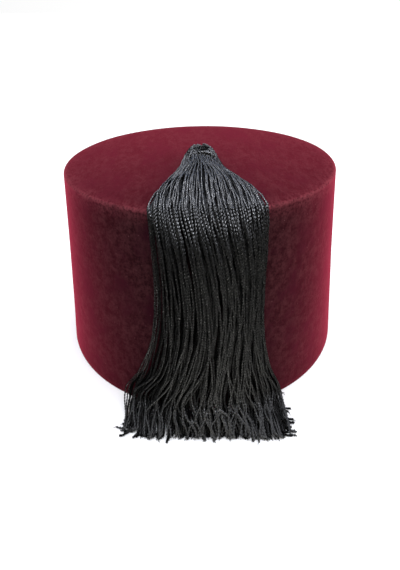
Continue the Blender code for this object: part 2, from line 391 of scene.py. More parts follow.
@dataclass
class Crown:
    """The felt body, turned about its axis: a flat top, a soft edge, and a side that widens to the rim."""

    finish: VelvetFelt
    height: float = HEIGHT
    base_radius: float = BASE_RADIUS
    top_radius: float = BASE_RADIUS - 14.0 * MM
    wall: float = 2.5 * MM
    edge_radius: float = 1.4 * MM
    inner_edge_radius: float = 0.6 * MM
    rim_radius: float = 0.7 * MM
    waist: float = 0.35 * MM
    steps: int = 192
    top_rings: int = 20
    side_rings: int = 36
    edge_rings: int = 8
    rim_rings: int = 4
    unevenness: float = 0.22 * MM
    unevenness_size: float = 34 * MM
    still_share: float = 0.2  # of its height, where the rim keeps the wall still
    top_share: float = 0.9
    top_rise: float = 0.5  # how far the top moves up for each step that the side moves out

    def side_radius(self, height: float) -> float:
        """Gives the outer radius of the side.

        Args:
            height: the height above the floor.

        Returns:
            The radius in metres.
        """
        fall = 1.0 - height / self.height
        straight = self.top_radius + (self.base_radius - self.top_radius) * fall
        return straight - self.waist * math.sin(math.pi * fall)

    def half_profile(self, inset: float, edge: float) -> list[Range]:
        """Draws one face of the wall, from the middle of the top down to the rim.

        Args:
            inset: how far inside the outer face it lies.
            edge: the radius of its fold between top and side.

        Returns:
            (radius, height) points.
        """
        top = self.height - inset
        middle = self.side_radius(top - edge) - inset - edge
        points = [(middle * i / self.top_rings, top) for i in range(self.top_rings)]
        for turn in spaced(math.pi / 2, 0.0, self.edge_rings + 1):
            points.append((middle + edge * math.cos(turn), top - edge + edge * math.sin(turn)))
        for height in spaced(top - edge, self.rim_radius, self.side_rings + 1)[1:]:
            points.append((self.side_radius(height) - inset, height))
        return points

    def profile(self) -> list[Range]:
        """Draws the whole wall, out over the top and side, round the rim and back inside.

        Returns:
            (radius, height) points that start and end on the axis.
        """
        outer = self.half_profile(0.0, self.edge_radius)
        inner = self.half_profile(self.wall, self.inner_edge_radius)
        low, count = self.rim_radius, self.rim_rings
        rim = []
        for middle, first in ((outer[-1][0] - low, 1), (inner[-1][0] + low, count)):
            for i in range(first, first + count):
                turn = -math.pi / 2 * i / count
                rim.append((middle + low * math.cos(turn), low + low * math.sin(turn)))
        return outer + rim + inner[::-1]

    def pushed(self, point: Vector) -> Vector:
        """Moves a point of the wall by the felt's own unevenness, which fades towards the rim.

        Args:
            point: a place on the wall, from the crown's axis.

        Returns:
            The moved place.
        """
        sample = noise.noise(point / self.unevenness_size)
        outward = Vector((point.x, point.y, 0.0))
        outward = outward.normalized() if outward.length > 1e-6 else outward
        fade = smooth_step(0.0, self.still_share, point.z / self.height)
        rise = Vector((0.0, 0.0, self.top_rise)) if point.z > self.top_share * self.height else Vector()
        return point + (outward + rise) * sample * self.unevenness * fade

    def build(self) -> None:
        """Makes and dresses the felt body."""
        profile = self.profile()
        points = [Vector((0.0, 0.0, profile[0][1]))]
        for radius, height in profile[1:-1]:
            for i in range(self.steps):
                turn = 2 * math.pi * i / self.steps
                points.append(Vector((radius * math.cos(turn), radius * math.sin(turn), height)))
        points.append(Vector((0.0, 0.0, profile[-1][1])))
        last = 1 + (len(profile) - 3) * self.steps
        faces = []
        for i in range(self.steps):
            j = (i + 1) % self.steps
            faces.append((0, 1 + i, 1 + j))
            for low in range(1, last, self.steps):
                high = low + self.steps
                faces.append((low + i, high + i, high + j, low + j))
            faces.append((last + j, last + i, len(points) - 1))
        mesh = bpy.data.meshes.new("felt_crown")
        mesh.from_pydata([tuple(AXIS + self.pushed(point)) for point in points], [], faces)
        mesh.shade_smooth()
        mesh.materials.append(self.finish.build())
        dress_piece(new_object("felt_crown", mesh), "crown")


FILAMENT_LAY = 0.45  # how far the filaments turn round the cord for each step along it


def cord_tree() -> NodeTree:
    """Builds the Geometry Nodes tree that turns polylines into twisted two-ply cords.

    Returns:
        The tree, with inputs Step, Pitch, Sides, Waist, Crimp, Crimp Size and Finish.
    """
    tree = bpy.data.node_groups.new("twisted_cords", "GeometryNodeTree")
    kinds = {"Geometry": "Geometry", "Sides": "Int", "Finish": "Material"}
    for name in ("Geometry", "Step", "Pitch", "Sides", "Waist", "Crimp", "Crimp Size", "Finish"):
        tree.interface.new_socket(name, in_out="INPUT", socket_type="NodeSocket" + kinds.get(name, "Float"))
    tree.interface.new_socket("Geometry", in_out="OUTPUT", socket_type="NodeSocketGeometry")
    add = partial(add_node, tree)
    store = partial(add, "GeometryNodeStoreNamedAttribute", domain="POINT")
    given = add("NodeGroupInput").outputs
    thickness, phase = (
        add("GeometryNodeInputNamedAttribute", {"Name": name}) for name in ("cord_radius", "cord_phase")
    )

    # The line that a cord follows, with the kinks of its own.
    lines = add("GeometryNodeMeshToCurve", {"Mesh": given["Geometry"]})
    smooth = add("GeometryNodeCurveSplineType", {"Curve": lines}, spline_type="CATMULL_ROM")
    even = add("GeometryNodeResampleCurve", {"Curve": smooth, "Length": given["Step"]}, mode="LENGTH")
    scale = add("ShaderNodeMath", (1.0, given["Crimp Size"]), operation="DIVIDE")
    kinks = {"W": phase, "Scale": scale, "Detail": 2.0, "Roughness": 0.65}
    wander = add("ShaderNodeTexNoise", kinks, noise_dimensions="4D").outputs["Color"]
    both_ways = add("ShaderNodeVectorMath", (wander, (0.5, 0.5, 0.5)), operation="SUBTRACT")
    crimp = add("ShaderNodeVectorMath", {0: both_ways, "Scale": given["Crimp"]}, operation="SCALE")
    crimped = add("GeometryNodeSetPosition", {"Geometry": even, "Offset": crimp})
    thick = add("GeometryNodeSetCurveRadius", {"Curve": crimped, "Radius": thickness})

    # The twist.
    along = add("GeometryNodeSplineParameter").outputs["Length"]
    turns = add("ShaderNodeMath", (along, given["Pitch"]), operation="DIVIDE")
    angle = add("ShaderNodeMath", (turns, 2 * math.pi, phase), operation="MULTIPLY_ADD")
    twisted = add("GeometryNodeSetCurveTilt", {"Curve": thick, "Tilt": angle})
    heading = {"Geometry": twisted, "Name": "cord_heading", "Value": add("GeometryNodeInputTangent")}
    marked = store(heading, data_type="FLOAT_VECTOR")

    # The section: a circle pinched between its two plies, marked for painted shade in the groove.
    ring = add("GeometryNodeCurvePrimitiveCircle", {"Resolution": given["Sides"], "Radius": 1.0})
    place = add("GeometryNodeInputPosition")
    across = add("ShaderNodeSeparateXYZ", (place,)).outputs["X"]
    power = add("ShaderNodeMath", (across, 4.0), operation="POWER")
    pinch = add("ShaderNodeMath", (power, given["Waist"]), operation="MULTIPLY")
    size = add("ShaderNodeMath", (1.0, pinch), operation="SUBTRACT")
    pinched = add("ShaderNodeVectorMath", {0: place, "Scale": size}, operation="SCALE")
    # 1 on a ply's crest and 0 in the groove: painted shade in the groove's colour, and a rougher groove
    crown = add("ShaderNodeMath", (1.0, power), operation="SUBTRACT")
    crowned = store({"Geometry": ring, "Name": "cord_crown", "Value": crown}, data_type="FLOAT")
    section = add("GeometryNodeSetPosition", {"Geometry": crowned, "Position": pinched})

    # The cord, with the way of its filaments.
    sizes = {"Scale": add("GeometryNodeInputRadius"), "Fill Caps": True}
    swept = add("GeometryNodeCurveToMesh", {"Curve": marked, "Profile Curve": section} | sizes)
    run = add("GeometryNodeInputNamedAttribute", {"Name": "cord_heading"}, data_type="FLOAT_VECTOR")
    outward = add("GeometryNodeInputNormal").outputs[0]
    round_it = add("ShaderNodeVectorMath", (run, outward), operation="CROSS_PRODUCT")
    lay = add("ShaderNodeVectorMath", (round_it, (FILAMENT_LAY,) * 3, run), operation="MULTIPLY_ADD")
    combed = store({"Geometry": swept, "Name": "cord_filaments", "Value": lay}, data_type="FLOAT_VECTOR")
    soft = add("GeometryNodeSetShadeSmooth", {"Geometry": combed})
    real = add("GeometryNodeRealizeInstances", {"Geometry": soft})
    dressed = add("GeometryNodeSetMaterial", {"Geometry": real, "Material": given["Finish"]})
    add("NodeGroupOutput", {"Geometry": dressed})
    return tree


@dataclass
class Cord:
    """One cord: the points that it follows, its thickness and how light its dye came out."""

    points: list[Vector]
    radius: float
    tint: float
    phase: float
    end_swell: float = 1.0
    start_scale: float = 1.0  # how thin it is drawn at its start
    drawn_share: float = 0.4  # of its length, over which it comes back to its full thickness
    worn_range: Range = (0.8, 0.93)  # of its length, over which it loses its sleekness to its cut end

    def tints(self) -> list[float]:
        """Gives how light and sleek it is at each of its points."""
        shares = spaced(0.0, 1.0, len(self.points))
        return [self.tint * (1 - smooth_step(*self.worn_range, share)) for share in shares]

    def radii(self) -> list[float]:
        """Gives its radius at each of its points.

        Returns:
            The radii in metres.
        """
        radii = []
        for i in range(len(self.points)):
            back = smooth_step(0.4, 1.0, i / (len(self.points) * self.drawn_share))
            radii.append(self.radius * (self.start_scale + (1 - self.start_scale) * back))
        radii[-1] *= self.end_swell
        return radii


@dataclass
class CordMaker:
    """Turns lists of cords into finished meshes."""

    finish: Material
    pitch: float = 3.3 * MM
    slot: str = "black_cord"
    node: str = "tassel"
    crimp: float = 1.1 * MM  # how far the cord's own kinks wander, in all
    crimp_size: float = 6.0 * MM
    tree: NodeTree = field(default_factory=cord_tree)

    def build(self, name: str, cords: list[Cord], step: float, sides: int, waist: float) -> None:
        """Sweeps and dresses the cords of one piece.

        Args:
            name: the piece's name.
            cords: its cords.
            step: the distance between sections along a cord.
            sides: the corners of a section.
            waist: how deep the groove between the two plies is, as a share of the radius.
        """
        points, edges, radii, tints, phases = [], [], [], [], []
        for cord in cords:
            first, count = len(points), len(cord.points)
            points += [tuple(p) for p in cord.points]
            edges += [(first + i, first + i + 1) for i in range(count - 1)]
            radii += cord.radii()
            tints += cord.tints()
            phases += [cord.phase] * count
        mesh = bpy.data.meshes.new(name + "_lines")
        mesh.from_pydata(points, edges, [])
        for label, values in (("cord_radius", radii), ("cord_tint", tints), ("cord_phase", phases)):
            mesh.attributes.new(label, "FLOAT", "POINT").data.foreach_set("value", values)
        guide = new_object(name + "_lines", mesh)
        sweep = guide.modifiers.new("cords", "NODES")
        sweep.node_group = self.tree
        wanted = {"Step": step, "Pitch": self.pitch, "Sides": sides, "Waist": waist, "Finish": self.finish}
        wanted |= {"Crimp": self.crimp, "Crimp Size": self.crimp_size}
        for item in self.tree.interface.items_tree:
            if item.in_out == "INPUT" and item.name in wanted:
                sweep[item.identifier] = wanted[item.name]
        graph = bpy.context.evaluated_depsgraph_get()
        swept = bpy.data.meshes.new_from_object(guide.evaluated_get(graph), depsgraph=graph)
        bpy.data.objects.remove(guide)
        bpy.data.meshes.remove(mesh)
        swept.name = name
        dress_piece(new_object(name, swept), self.node)


@dataclass(frozen=True)
class Section:
    """One section across the tassel's bundle, in millimetres from the crown's axis and the floor."""

    under_y: float
    under_z: float
    out_y: float
    out_z: float
    left: float
    right: float
    wrap: float  # how much of the crown's roundness it follows
    skew: float = 0.0  # how much further forward it lies for each step to the right

    def outward(self) -> Vector:
        """Points from the middle of the underside to the outer face."""
        return Vector((0.0, self.out_y - self.under_y, self.out_z - self.under_z))


SECTIONS = tuple(Section(*row) for row in (
    (-10.2, 115.0, -10.2, 120.4, -8.2, 9.8, 0.0),  # in the head
    (-24.0, 114.6, -24.0, 122.0, -11.6, 13.6, 0.0),
    (-42.0, 114.6, -43.0, 122.9, -16.8, 21.2, 0.0),
    (-60.0, 114.6, -62.0, 122.6, -22.0, 27.4, 0.0),
    (-72.0, 114.7, -75.5, 119.8, -23.4, 29.5, 0.5),
    (-77.9, 113.8, -84.0, 115.8, -23.8, 30.3, 1.0),  # over the crown's front edge
    (-79.8, 106.5, -91.0, 106.5, -23.4, 30.6, 1.0),
    (-81.6, 92.0, -94.4, 92.0, -23.0, 30.8, 1.0),
    (-84.3, 70.0, -95.4, 70.0, -23.4, 30.8, 1.0),
    (-87.2, 48.0, -95.8, 48.0, -25.8, 31.6, 1.0),
    (-89.9, 27.0, -98.2, 28.5, -32.6, 35.6, 1.0),
    (-91.7, 12.5, -101.6, 16.0, -41.2, 41.6, 1.0),
    (-94.6, 3.6, -106.0, 10.2, -43.6, 44.6, 0.9),  # where the cords reach the floor
    (-101.0, 0.8, -109.4, 6.2, -44.2, 46.2, 0.42, 0.01),
    (-109.0, 0.5, -111.6, 3.0, -44.2, 47.0, -0.06, 0.02),  # the tips
))
EDGE_SHARE = 5 / 14  # of the bundle's length, where it bends over the crown's edge


@dataclass
class Bundle:
    """The form that the tassel's cords fill. Along it, places run from 0 in the head to 1 at the
    tips, and across it from -1 at the left edge to 1 at the right."""

    side_thickness: float = 1.7 * MM
    dome_spread: Range = (1.35, 2.2)  # by the head, and from the fan on
    dome_blunt: Range = (0.95, 0.55)
    head_range: Range = (0.04, 0.24)  # of its length, over which the one turns into the other
    cord_radius: float = 0.62 * MM
    outermost: float = 0.985  # across it
    gathered: float = 0.4  # how much more the cords crowd to its middle in the head
    gather_range: Range = (0.03, 0.17)
    proud: float = 0.15 * MM  # how far a cord may stand out of the outer face

    def section(self, along: float) -> Section:
        """Finds a section on a smooth curve through the table.

        Args:
            along: the place along the bundle.

        Returns:
            The section there.
        """
        last = len(SECTIONS) - 1
        place = min(max(along, 0.0), 1.0) * last
        i = min(int(place), last - 1)
        t = place - i
        rows = [vars(SECTIONS[min(max(i + k, 0), last)]) for k in (-1, 0, 1, 2)]
        values = {}
        for name in rows[0]:
            a, b, c, d = (row[name] for row in rows)
            bend = (2 * a - 5 * b + 4 * c - d) * t**2 + (3 * b - a - 3 * c + d) * t**3
            values[name] = 0.5 * (2 * b + (c - a) * t + bend)
        return Section(**values)

    def thickness(self, section: Section, across: float, along: float) -> float:
        """Measures the bundle's thickness.

        Args:
            section: the section there.
            across: the place across the bundle.
            along: the place along it.

        Returns:
            The thickness in metres.
        """
        thickest = section.outward().length * MM
        flat = smooth_step(*self.head_range, along)
        spread, blunt = (low + (high - low) * flat for low, high in (self.dome_spread, self.dome_blunt))
        dome = max(1 - abs(across) ** spread, 0.0) ** blunt
        return self.side_thickness + (thickest - self.side_thickness) * dome

    def point(self, section: Section, across: float, height: float) -> Vector:
        """Finds a place in the bundle.

        Args:
            section: the section that it is in.
            across: the place across the bundle.
            height: the distance above the underside.

        Returns:
            The place, in the row frame.
        """
        under = Vector((0.0, section.under_y, section.under_z)) * MM
        place = under + section.outward().normalized() * height
        x = (section.left + (section.right - section.left) * (across + 1) / 2) * MM
        reach = -under.y
        back = section.wrap * (reach - math.sqrt(max(reach**2 - x**2, 0.0))) - section.skew * x
        return AXIS + place + Vector((x, back, 0.0))

    def place(self, along: float, across: float, sideways: float, lie: float) -> Vector:
        """Finds a cord's place in the bundle, kept between the bundle's faces.

        Args:
            along: the place along the bundle.
            across: the cord's own place across it.
            sideways: how far it strays from there.
            lie: how far below the bundle's outer face it runs.

        Returns:
            The place, in the row frame.
        """
        section = self.section(along)
        width = (section.right - section.left) / 2 * MM
        near = 1 - smooth_step(*self.gather_range, along)
        place = math.copysign(abs(across) ** (1 + self.gathered * near), across) + sideways / width
        place = min(max(place, -self.outermost), self.outermost)
        thickness = self.thickness(section, place, along)
        lie = min(max(lie, -self.proud), max(thickness - 2 * self.cord_radius, 0.0))
        return self.point(section, place, thickness - self.cord_radius - lie)


BUNDLE = Bundle()


class CordLayer(Enum):
    """The layers of cords in the bundle, from the outside in: (cords, depth in millimetres)."""

    OUTER = (35, 0.1)
    SECOND = (35, 1.0)
    THIRD = (31, 2.1)
    FOURTH = (26, 3.6)
    FIFTH = (24, 5.2)
    SIXTH = (20, 7.0)
    SEVENTH = (16, 8.8)


@dataclass(frozen=True)
class Head:
    """The tassel's head: a dome of cord ends drawn together, with a dimple in its top."""

    middle: Vector = field(default_factory=lambda: AXIS + Vector((0.8, -6.5, 0.0)) * MM)
    low: float = HEIGHT + 0.3 * MM
    height: float = 7.8 * MM
    lean: float = 0.8 * MM  # how much lower than its middle its front lip lies
    lip_radius: float = 5.2 * MM

    def point(self, turn: float, radius: float, drop: float) -> Vector:
        """Finds a place in the head.

        Args:
            turn: the direction from its middle, in radians from the front.
            radius: the millimetres from its middle.
            drop: the millimetres below its crest.

        Returns:
            The place, in the row frame.
        """
        spoke = Vector((math.sin(turn), -math.cos(turn), 0.0)) * radius * MM
        crest = self.low + self.height - self.lean * math.cos(turn) * min(radius * MM / self.lip_radius, 1.0)
        return self.middle + spoke + Vector((0.0, 0.0, crest - drop * MM))


HEAD = Head()
LIP_WAY = ((2.2, 5.2), (3.6, 2.6), (5.0, 0.3), (7.0, 0.5))  # over the front lip: radius and drop, mm


@dataclass
class CordGroup:
    """Cords cut from one stock, which get every irregularity from one source."""

    # the makers for the inner and core cords give painted shade
    makers: tuple[CordMaker, ...]  # for the outermost cords, those within and those at the core
    radius: float = BUNDLE.cord_radius
    seed: int = 11
    phases: float = 6.28  # the range of the twist's start, in radians

    def __post_init__(self) -> None:
        """Starts the source of the irregularities."""
        self.rng = np.random.default_rng(self.seed)

    def cut(
        self, points: list[Vector], girth: Range, tints: Range, swell: float = 1.0, drawn: float = 1.0
    ) -> Cord:
        """Cuts a cord with a thickness, a dye and a twist of its own.

        Args:
            points: the points that it follows.
            girth: the range of its thickness, as a share of the usual.
            tints: the range of its tint.
            swell: how much thicker its cut end is.
            drawn: how thin it is drawn at its start.

        Returns:
            The cord.
        """
        radius = self.radius * self.rng.uniform(*girth)
        tint, phase = self.rng.uniform(*tints), self.rng.uniform(0.0, self.phases)
        return Cord(points, radius, tint, phase, swell, drawn)


@dataclass
class Tassel(CordGroup):
    """The long cords: out of the head, over the edge and down to their loose tips."""

    drawn: float = 0.78  # how thin the cords are drawn in the fan
    swell: float = 1.2  # how much thicker their cut ends are
    stations: int = 48
    fine_step: float = 0.34 * MM
    inner_step: float = 0.9 * MM
    coarse_step: float = 1.2 * MM
    fray_step: float = 0.7 * MM
    waist: float = 0.82
    starts: Range = (0.02, 0.045)  # where along the bundle a cord leaves the head, or its lip
    head_depths: Range = (3.8, 6.6)  # millimetres, for the inner cords
    wobble: Range = (0.35, 0.25)  # millimetres in and out, and how much more low down
    wobble_turns: float = 7.0  # half turns along the bundle
    cut_range: Range = (0.008, 0.004)  # how unevenly the tips are cut, singly and lock by lock
    drift: float = 8.0 * MM  # how far the middle cords lean to the right on their way down
    leans: Range = (0.6, 1.5)
    swung_back: float = 0.3  # how much of its lean a cord loses low down
    root_stray: Range = (0.9, 2.4)  # in the head, in millimetres: as a rule, and at most
    swings: Range = (0.4, 2.7)  # low down, in millimetres
    dives: tuple[float, ...] = (0.0, 0.4, 0.7, 4.0, 5.5)  # millimetres under its neighbours in the fan
    shallow: float = 2.0 * MM  # an outer cord that dives deeper doesn't come over the head's lip
    over_lip_share: float = 0.6  # of the bundle's width, whose outer cords do
    lip_fan: float = 1.6  # radians from the front, where a cord at the bundle's edge would cross the lip
    lip_sink: float = 0.6  # how much lower it crosses the lip, as a share of its dive
    root_range: Range = (0.06, 0.26)  # these say where along the bundle each thing comes in
    fan_range: Range = (0.16, 0.33)
    hang_range: Range = (EDGE_SHARE - 0.03, 0.62)
    low_range: Range = (0.52, 0.82)
    tip_range: Range = (0.84, 0.97)
    wobble_range: Range = (0.6, 0.8)
    parting_range: Range = (0.8, 1.0)
    lock_count: int = 13
    lock_swings: Range = (2.1, 1.1)  # millimetres: the usual, and how much it varies
    loose_share: float = 0.3  # of its lock's swing, in a cord that isn't bound to it
    parting: Range = (-0.5, 0.13)  # where the foot parts, and how wide
    parting_push: float = 1.5 * MM  # how far the parting pushes the cords beside it
    strays: int = 17
    stray_skews: Range = (4.0, 11.0)  # millimetres
    stray_bends: tuple[Range, Range] = ((0.42, 0.58), (0.86, 0.95))  # where one starts and ends its skew
    stray_root: float = 2.0 * MM  # how deep in the fan it starts
    stray_rises: Range = (0.1, 0.2)  # where it comes up out of the fan
    stray_settles: Range = (1.0, 0.93)
    stray_ends: Range = (0.97, 1.0)
    edge_strays: tuple[Range, ...] = ((-1.0, 2.4), (-1.0, 0.9), (1.0, 0.8))  # (side, millimetres apart)
    edge_start: float = 0.3
    edge_ends: Range = (0.95, 0.99)
    edge_girth: float = 0.8
    bow_begins: Range = (0.5, 0.6)  # where one of these starts to bow out of the bundle
    bow_share: float = 0.13  # of the bundle, over which it does
    bow_ends: Range = (0.84, 0.93)  # where it comes back
    bow_forward: float = 0.3  # how far it bows forward for each step sideways
    tip_turn: float = math.radians(72)  # at the side, and less towards the middle
    tip_reach: Range = (0.3, 2.0)  # millimetres
    long_reach: Range = (2.0, 4.2)
    long_share: float = 0.12  # of the tips
    side_share: float = 0.84  # beyond which a cord's tip points sideways
    side_turn: Range = (60, 110)
    side_reach: Range = (1.2, 4.8)
    droops: Range = (0.8, 0.3)  # of the other tips, and of those at the side
    uneven: Range = (0.06, 0.15)  # how much shorter the outermost are cut, on the left and right
    foot_cords: int = 100
    foot_stations: int = 16
    foot_starts: Range = (0.7, 0.76)
    foot_cut: float = 0.012
    foot_hidden: float = 4.5 * MM  # how much deeper a foot cord starts than it ends
    foot_rise: float = 0.16  # the share of the bundle over which it comes up
    foot_depths: tuple[float, ...] = (0.7 * MM, 2.4 * MM, 1.5 * MM, 3.3 * MM)
    frayed_share: float = 0.4  # of the cut ends
    fibre_radius: float = 0.13 * MM  # ten times a real filament's, which is too fine to show
    fibre_counts: tuple[int, int] = (2, 5)
    fibre_root: float = 0.5 * MM  # how far inside the cord's end it starts
    fibre_splay: float = 0.42  # how far it turns out of the cord's way
    fibre_lengths: Range = (0.7, 2.2)  # millimetres
    fibre_droop: float = 0.35  # of its length
    fibre_lowest: float = 0.25 * MM
    fibre_girths: Range = (0.8, 1.4)

    def lock(self, across: float) -> int:
        """Gives the number of the lock that a cord lies in."""
        return round((across + 1) * self.lock_count / 2)

    def shift(self, across: float, wild: float, locked: bool = True) -> Callable[[float], float]:
        """Chooses how one cord strays sideways from its place.

        Args:
            across: its place across the bundle.
            wild: how strongly it bends low down.
            locked: whether it bends together with the lock that it lies in.

        Returns:
            A function from the place along the bundle to metres.
        """
        rng, lock = self.rng, self.lock(across)
        phases = rng.uniform(0.0, 2 * math.pi, 3)
        lean = self.drift * rng.uniform(*self.leans)
        usual, most = self.root_stray
        root = min(max(rng.normal(0.0, usual), -most), most) * MM
        swing = wild * rng.uniform(*self.swings) * MM
        usual, varies = self.lock_swings
        lock_swing = (usual + varies * math.sin(1.7 * lock)) * MM * (1.0 if locked else self.loose_share)
        middle = 1 - across * across
        part = (across - self.parting[0]) / self.parting[1]

        def sideways(along: float) -> float:
            """Adds up the cord's lean and waves.

            Args:
                along: the place along the bundle.

            Returns:
                How far to the right of its place the cord lies.
            """
            low = smooth_step(*self.low_range, along)
            tips = smooth_step(*self.tip_range, along)
            hang = smooth_step(*self.hang_range, along)
            total = lean * hang * middle * (1 - self.swung_back * low)
            total += root * (1 - smooth_step(*self.root_range, along))
            parted = self.parting_push * part * math.exp(-part * part)
            total += parted * smooth_step(*self.parting_range, along)
            waves = (  # size, half turns along the bundle, phase, and how far it stills at the tips
                (lock_swing * low * middle, 5.5, 2.4 * lock, 0.6),
                (swing * low, 5.2, phases[0], 0.5),
                ((0.3 + 0.4 * low) * MM, 11.0, phases[1], 0.85),
                (0.12 * low * MM, 19.0, phases[2], 1.0),
            )
            return total + sum(
                size * math.sin(turns * math.pi * along + phase) * (1 - stilled * tips)
                for size, turns, phase, stilled in waves
            )

        return sideways

    def cut_short(self, across: float) -> float:
        """Chooses how much shorter a cord at the side is cut, as a share of the bundle's length."""
        return self.rng.uniform(0.0, self.uneven[int(across > 0)]) if abs(across) > self.side_share else 0.0

    def tip(self, end: Vector, across: float) -> Vector:
        """Finds the loose end of a cord, a little past the bundle's last section.

        Args:
            end: the cord's last point in the bundle.
            across: its place across the bundle.

        Returns:
            The tip.
        """
        rng = self.rng
        turn = self.tip_turn * across * abs(across) + rng.normal(0.0, 0.3)
        reach = rng.uniform(*(self.tip_reach if rng.uniform() > self.long_share else self.long_reach)) * MM
        droop, side_droop = self.droops
        if abs(across) > self.side_share:
            turn = math.copysign(math.radians(rng.uniform(*self.side_turn)), across)
            reach = rng.uniform(*self.side_reach) * MM
            droop = side_droop
        ahead = end + Vector((math.sin(turn), -math.cos(turn), 0.0)) * reach
        ahead.z = max(end.z - droop * reach, self.radius + 0.15 * MM)
        return ahead

    def cord(self, across: float, layer: CordLayer) -> Cord:
        """Lays one cord through the bundle.

        Args:
            across: its place across the bundle.
            layer: its layer.

        Returns:
            The cord.
        """
        rng = self.rng
        depth = layer.value[1] * MM
        head_depth = rng.uniform(*self.head_depths) * MM
        dive = rng.choice(self.dives) * MM
        locked = layer in (CordLayer.OUTER, CordLayer.SECOND)
        sideways = self.shift(across, wild=1.0, locked=locked)
        phase = rng.uniform(0.0, 2 * math.pi)
        singly, by_lock = self.cut_range
        last = 1 - rng.uniform(0.0, singly) - by_lock * (1 + math.sin(2.9 * self.lock(across)))
        last -= self.cut_short(across)
        points, (start, lip_start) = [], self.starts
        if layer is CordLayer.OUTER and dive < self.shallow and abs(across) < self.over_lip_share:
            turn, sink = self.lip_fan * across, self.lip_sink * dive / MM
            points = [HEAD.point(turn, radius, drop + sink) for radius, drop in LIP_WAY]
            start = lip_start
        wobble, more = self.wobble
        for along in spaced(start, last, self.stations):
            near = 1 - smooth_step(*self.fan_range, along)
            lie = depth + dive * near if layer is CordLayer.OUTER else depth * (1 - near) + head_depth * near
            size = (wobble + more * smooth_step(*self.wobble_range, along)) * MM
            lie += size * math.sin(self.wobble_turns * math.pi * along + phase)
            points.append(BUNDLE.place(along, across, sideways(along), lie))
        points.append(self.tip(points[-1], across))
        return self.cut(points, girth=(0.88, 1.08), tints=(0.45, 1.0), swell=self.swell, drawn=self.drawn)

    def foot_cord(self, across: float, depth: float) -> Cord:
        """Lays the end of a cord that comes out from under the others only at the foot.

        Args:
            across: its place across the bundle.
            depth: how far below the outer face its end lies.

        Returns:
            The cord.
        """
        rng = self.rng
        sideways = self.shift(across, wild=0.7, locked=False)
        start, last = rng.uniform(*self.foot_starts), 1 - rng.uniform(0.0, self.foot_cut)
        points = []
        for along in spaced(start, last - self.cut_short(across), self.foot_stations):
            lie = depth + self.foot_hidden * (1 - smooth_step(start, start + self.foot_rise, along))
            points.append(BUNDLE.place(along, across, sideways(along), lie))
        points.append(self.tip(points[-1], across))
        return self.cut(points, girth=(0.85, 1.05), tints=(0.0, 1.0), swell=self.swell)

    def stray(self, across: float, end: float, stand_off: float) -> Cord:
        """Lays one long cord over the others, askew.

        Args:
            across: its place across the bundle at the crown's edge.
            end: how far further to the right its tip lies.
            stand_off: how far it stands out from the bundle's outer face.

        Returns:
            The cord.
        """
        rng = self.rng
        sideways = self.shift(across, wild=1.5)
        begin, finish = (rng.uniform(*bounds) for bounds in self.stray_bends)
        points = []
        for along in spaced(self.stray_rises[0], rng.uniform(*self.stray_ends), self.stations):
            over = smooth_step(*self.stray_rises, along)
            skew = end * smooth_step(begin, finish, along)
            outward = BUNDLE.section(along).outward().normalized()
            point = BUNDLE.place(along, across, sideways(along) + skew, (1 - over) * self.stray_root)
            points.append(point + outward * stand_off * over * smooth_step(*self.stray_settles, along))
        points.append(self.tip(points[-1], across))
        return self.cut(points, girth=(0.85, 1.0), tints=(0.3, 1.0), swell=self.swell, drawn=self.drawn)

    def edge_stray(self, side: float, away: float) -> Cord:
        """Lays one cord that hangs a little apart from the bundle's edge.

        Args:
            side: -1 for the left edge, 1 for the right.
            away: how far apart it hangs, in metres.

        Returns:
            The cord.
        """
        rng = self.rng
        begin = rng.uniform(*self.bow_begins)
        points = []
        for along in spaced(self.edge_start, rng.uniform(*self.edge_ends), self.stations):
            out = smooth_step(begin, begin + self.bow_share, along)
            bow = away * out * (1 - smooth_step(*self.bow_ends, along))
            point = BUNDLE.place(along, side * BUNDLE.outermost, 0.0, 0.4 * MM)
            points.append(point + Vector((side * bow, -self.bow_forward * bow, 0.0)))
        points.append(self.tip(points[-1], side))
        phase = rng.uniform(0.0, self.phases)
        return Cord(points, self.radius * self.edge_girth, tint=1.0, phase=phase, end_swell=self.swell)

    def frayed_end(self, cord: Cord) -> list[Cord]:
        """Splays a few filaments out of a cord's cut end.

        Args:
            cord: the cord that they end.

        Returns:
            The filaments, as thin cords.
        """
        rng = self.rng
        tip, before = cord.points[-1], cord.points[-2]
        ahead = (tip - before).normalized()
        root = tip - ahead * self.fibre_root
        fibres = []
        for _ in range(rng.integers(*self.fibre_counts)):
            heading = (ahead + Vector(rng.normal(0.0, self.fibre_splay, 3))).normalized()
            length = rng.uniform(*self.fibre_lengths) * MM
            droop = Vector((0.0, 0.0, -self.fibre_droop * length))
            points = [root.copy(), root + heading * length * 0.5, root + heading * length + droop]
            for point in points:
                point.z = max(point.z, self.fibre_lowest)
            radius = self.fibre_radius * rng.uniform(*self.fibre_girths)
            fibres.append(Cord(points, radius, tint=rng.uniform(0, 1), phase=0.0))
        return fibres

